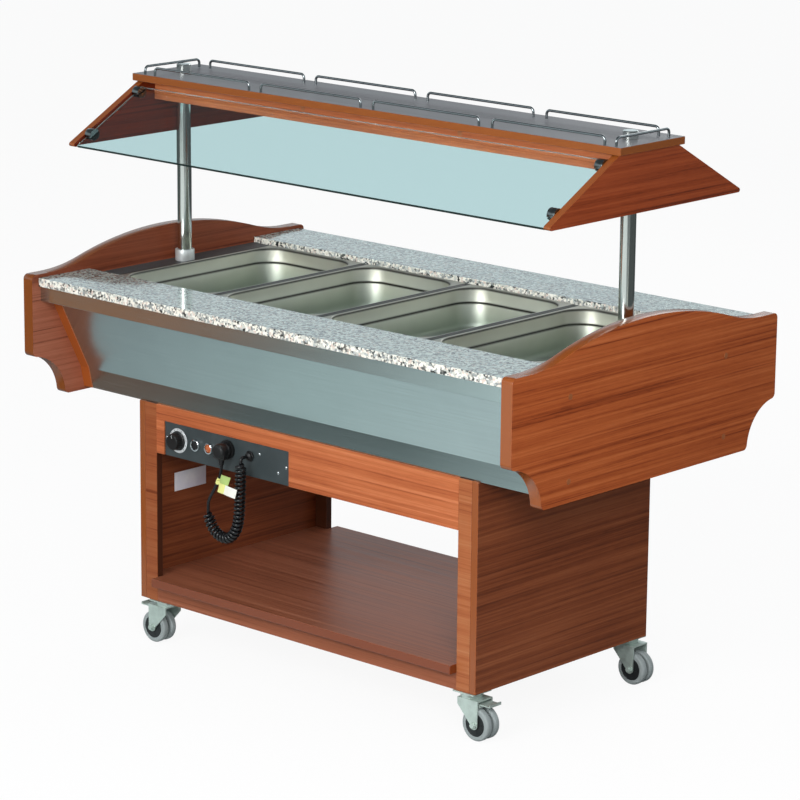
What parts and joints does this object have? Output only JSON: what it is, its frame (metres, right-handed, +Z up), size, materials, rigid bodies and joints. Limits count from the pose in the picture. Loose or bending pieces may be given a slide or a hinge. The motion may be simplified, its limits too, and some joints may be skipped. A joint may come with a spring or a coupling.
{
  "type": "heated buffet counter",
  "caption": "Heated buffet counter on casters: wood-clad counter with lift-out pans in a heated well, granite ledges, a glass canopy on posts, a shelf base and a curly mains cord.",
  "frame": {"origin": "centre of the footprint, on the floor under the casters", "axes": "+X along the counter to its right end, +Y from the control side to the back, +Z up"},
  "size_m": [1.49, 0.9, 1.326],
  "materials": {
    "laminate": "satin wood-grain laminate",
    "edge_wood": "satin plain edge band",
    "front_wood": "satin wood-grain laminate",
    "dark_wood": "satin",
    "granite": "polished speckled granite",
    "steel": "brushed",
    "pan_steel": "drawn satin",
    "heater_steel": "heat-tinted",
    "valve_brass": "satin",
    "lever_paint": "dipped",
    "anthracite": "fine texture",
    "zinc": "bright zinc",
    "thermostat_steel": "satin",
    "chrome": "polished",
    "black_plastic": "satin",
    "button_plastic": "gloss",
    "amber": "translucent look",
    "black_rubber": "matte",
    "tag_paper": "matte",
    "glass": "clear",
    "hub_plastic": "satin",
    "grey_tyre": "matte",
    "pedal_plastic": "satin"
  },
  "bodies": {
    "counter": {"end_panel_left": "laminate", "end_panel_right": "laminate", "cheeks": "edge_wood", "granite_slabs": "granite", "fascias": "steel", "counter_frame": "steel", "basin_floor": "dark_wood", "well_tank": "steel", "heating_element": "heater_steel", "drain_valve": "valve_brass", "pan_bars": "pan_steel", "base_sides": "laminate", "stiles": "front_wood", "apron_front": "front_wood", "apron_back": "front_wood", "shelf": "front_wood", "base_rails": "dark_wood", "control_plate": "anthracite", "control_box": "zinc", "thermostat": "thermostat_steel", "switch_body": "chrome", "pilot_lamp": "chrome", "lamp_lens": "amber", "plug_holder": "black_plastic", "plug": "black_plastic", "cord_gland": "black_plastic", "curly_cord": "black_rubber", "cord_tail": "black_rubber", "cord_tag": "tag_paper", "canopy_board": "laminate", "canopy_ends": "laminate", "canopy_rails": "front_wood", "glass_panes": "glass", "glass_clamps": "chrome", "posts": "chrome", "post_collars": "chrome", "gallery_rails": "chrome", "caster_plates": "zinc"},
    "pan_1": {"pan_1": "pan_steel"},
    "pan_2": {"pan_2": "pan_steel"},
    "pan_3": {"pan_3": "pan_steel"},
    "pan_4": {"pan_4": "pan_steel"},
    "knob": {"thermostat_knob": "black_plastic"},
    "button": {"push_button": "button_plastic"},
    "lever": {"drain_lever": "lever_paint"},
    "fork_front_left": {"caster_fork_front_left": "zinc"},
    "wheels_front_left": {"caster_hub_front_left": "hub_plastic", "caster_tyres_front_left": "grey_tyre"},
    "pedal_front_left": {"brake_pedal_front_left": "pedal_plastic"},
    "fork_front_right": {"caster_fork_front_right": "zinc"},
    "wheels_front_right": {"caster_hub_front_right": "hub_plastic", "caster_tyres_front_right": "grey_tyre"},
    "pedal_front_right": {"brake_pedal_front_right": "pedal_plastic"},
    "fork_back_left": {"caster_fork_back_left": "zinc"},
    "wheels_back_left": {"caster_hub_back_left": "hub_plastic", "caster_tyres_back_left": "grey_tyre"},
    "fork_back_right": {"caster_fork_back_right": "zinc"},
    "wheels_back_right": {"caster_hub_back_right": "hub_plastic", "caster_tyres_back_right": "grey_tyre"}
  },
  "joints": [
    {"name": "pan_1_lift", "type": "slide", "parent": "counter", "child": "pan_1", "axis": [0, 0, 1], "range_m": [0, 0.15]},
    {"name": "pan_2_lift", "type": "slide", "parent": "counter", "child": "pan_2", "axis": [0, 0, 1], "range_m": [0, 0.15]},
    {"name": "pan_3_lift", "type": "slide", "parent": "counter", "child": "pan_3", "axis": [0, 0, 1], "range_m": [0, 0.15]},
    {"name": "pan_4_lift", "type": "slide", "parent": "counter", "child": "pan_4", "axis": [0, 0, 1], "range_m": [0, 0.15]},
    {"name": "knob_turn", "type": "hinge", "parent": "counter", "child": "knob", "pos_m": [-0.397, -0.2945, 0.507], "axis": [0, 1, 0], "range_deg": [0, 270]},
    {"name": "button_press", "type": "slide", "parent": "counter", "child": "button", "axis": [0, 1, 0], "range_m": [0, 0.003], "stiffness_N_per_m": 400},
    {"name": "lever_turn", "type": "hinge", "parent": "counter", "child": "lever", "pos_m": [0.3, -0.031, 0.52], "axis": [0, 1, 0], "range_deg": [0, 90]},
    {"name": "swivel_front_left", "type": "hinge", "parent": "counter", "child": "fork_front_left", "pos_m": [-0.463, -0.268, 0.0915], "axis": [0, 0, 1], "continuous": true},
    {"name": "roll_front_left", "type": "hinge", "parent": "fork_front_left", "child": "wheels_front_left", "pos_m": [-0.49, -0.268, 0.0375], "axis": [0, 1, 0], "continuous": true},
    {"name": "brake_front_left", "type": "hinge", "parent": "fork_front_left", "child": "pedal_front_left", "pos_m": [-0.487, -0.268, 0.084], "axis": [0, -1, 0], "range_deg": [0, 11]},
    {"name": "swivel_front_right", "type": "hinge", "parent": "counter", "child": "fork_front_right", "pos_m": [0.49, -0.268, 0.0915], "axis": [0, 0, 1], "continuous": true},
    {"name": "roll_front_right", "type": "hinge", "parent": "fork_front_right", "child": "wheels_front_right", "pos_m": [0.517, -0.268, 0.0375], "axis": [0, 1, 0], "continuous": true},
    {"name": "brake_front_right", "type": "hinge", "parent": "fork_front_right", "child": "pedal_front_right", "pos_m": [0.514, -0.268, 0.084], "axis": [0, 1, 0], "range_deg": [0, 11]},
    {"name": "swivel_back_left", "type": "hinge", "parent": "counter", "child": "fork_back_left", "pos_m": [-0.463, 0.268, 0.0915], "axis": [0, 0, 1], "continuous": true},
    {"name": "roll_back_left", "type": "hinge", "parent": "fork_back_left", "child": "wheels_back_left", "pos_m": [-0.49, 0.268, 0.0375], "axis": [0, 1, 0], "continuous": true},
    {"name": "swivel_back_right", "type": "hinge", "parent": "counter", "child": "fork_back_right", "pos_m": [0.49, 0.268, 0.0915], "axis": [0, 0, 1], "continuous": true},
    {"name": "roll_back_right", "type": "hinge", "parent": "fork_back_right", "child": "wheels_back_right", "pos_m": [0.517, 0.268, 0.0375], "axis": [0, 1, 0], "continuous": true}
  ]
}
